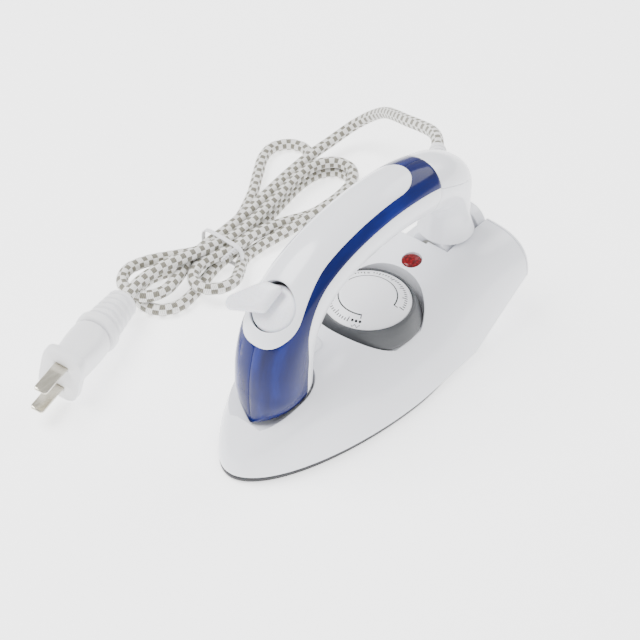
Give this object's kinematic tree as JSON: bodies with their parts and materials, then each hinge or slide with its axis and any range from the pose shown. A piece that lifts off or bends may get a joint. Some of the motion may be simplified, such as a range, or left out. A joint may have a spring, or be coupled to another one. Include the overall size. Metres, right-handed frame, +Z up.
{
  "type": "travel steam iron",
  "caption": "Small travel steam iron with a side-folding bow handle, steam lever, temperature dial, pilot lamp, pointed soleplate and a braided cord tied in a hank with a two-blade plug.",
  "frame": {"origin": "on the table under the middle of the iron's length, where the soleplate rests", "axes": "-Y towards the iron's nose, +Z up, +X towards the iron's left, the side away from the cord"},
  "size_m": [0.1742, 0.2473, 0.1001],
  "materials": {
    "sole_metal": "dark non-stick coating",
    "steel": "bright zinc-plated steel",
    "alu": "bare aluminium",
    "gasket": "red-brown silicone",
    "black_rubber": "soft black rubber",
    "skirt_plastic": "matt dark grey heat-proof plastic",
    "white_gloss": "glossy moulded white",
    "white_matt": "plain moulded white",
    "blue_gloss": "deep blue translucent gloss",
    "lever_plastic": "glossy white, slightly milky",
    "dial_grey": "fine-grained dark grey",
    "dial_white": "printed white disc",
    "lamp_red": "clear dark red lens",
    "neon_glass": "small neon bulb",
    "ceramic": "unglazed ceramic",
    "bimetal": "copper-coloured bimetal",
    "tank_clear": "clear moulded tank",
    "nylon": "natural nylon",
    "wire": "brown insulation",
    "cord_braid": "braided white and grey-green thread",
    "plug_white": "soft white moulded PVC",
    "blade": "plain brass-coloured metal"
  },
  "bodies": {
    "base": {"soleplate": "sole_metal", "heating_element": "steel", "chamber_gasket": "gasket", "steam_chamber_cover": "alu", "heat_shield": "alu", "chamber_screws": "steel", "base_skirt": "skirt_plastic", "body_shell": "white_gloss", "rear_cover": "white_gloss", "rear_cover_screws": "steel", "thermostat": "ceramic", "thermostat_bracket": "steel", "bimetal_strip": "bimetal", "thermal_fuse": "ceramic", "terminal_block": "ceramic", "lamp_lens": "lamp_red", "neon_lamp": "neon_glass", "steam_hose": "gasket", "front_pivot_pin": "steel", "rear_pivot_pin": "steel", "pin_clips": "steel", "heater_leads": "wire", "cord_lead": "cord_braid", "cord_hank": "cord_braid", "hank_tie": "white_matt", "plug_relief": "plug_white", "plug_body": "plug_white", "plug_blades": "blade"},
    "handle": {"handle_shell_left": "blue_gloss", "handle_shell_right": "blue_gloss", "grip_cover": "white_gloss", "handle_lower_shell": "white_gloss", "rear_post": "white_gloss", "rear_cap": "white_gloss", "water_tank": "tank_clear", "valve_seat": "nylon", "tank_seal": "gasket", "drip_tube": "tank_clear", "front_bush": "nylon", "rear_bush": "nylon", "grip_screw": "steel", "cord_gland": "white_matt", "cord_clamp": "nylon", "mains_wires": "wire", "button_spring": "steel"},
    "dial": {"dial_ring": "dial_grey", "dial_face": "dial_white", "dial_spindle": "steel", "spindle_clip": "steel"},
    "lever": {"steam_lever": "lever_plastic", "lever_o_ring": "black_rubber"},
    "needle": {"valve_needle": "steel"},
    "button": {"release_button": "white_gloss"}
  },
  "joints": [
    {"name": "handle_fold", "type": "hinge", "parent": "base", "child": "handle", "pos_m": [0, 0, 0.038], "axis": [0, -1, 0], "range_deg": [0, 86], "deforming": ["cord_lead"]},
    {"name": "dial_turn", "type": "hinge", "parent": "base", "child": "dial", "pos_m": [0, 0.008, 0.0386], "axis": [0, 0, 1], "range_deg": [0, 250]},
    {"name": "steam_lever_turn", "type": "hinge", "parent": "handle", "child": "lever", "pos_m": [0, -0.052, 0.0756], "axis": [0, -0.6157, 0.788], "range_deg": [0, 75]},
    {"name": "needle_lift", "type": "slide", "parent": "handle", "child": "needle", "axis": [0, -0.6157, 0.788], "range_m": [0, 0.0012], "stiffness_N_per_m": 0.05, "springref_m": 0.0157},
    {"name": "release_press", "type": "slide", "parent": "handle", "child": "button", "axis": [0, -1, 0], "range_m": [0, 0.0023], "stiffness_N_per_m": 1200, "springref_m": -0.002, "deforming": ["button_spring"]}
  ],
  "couplings": [
    {"joint": "needle_lift", "follows": "steam_lever_turn", "m_per_rad": 0.00084}
  ]
}
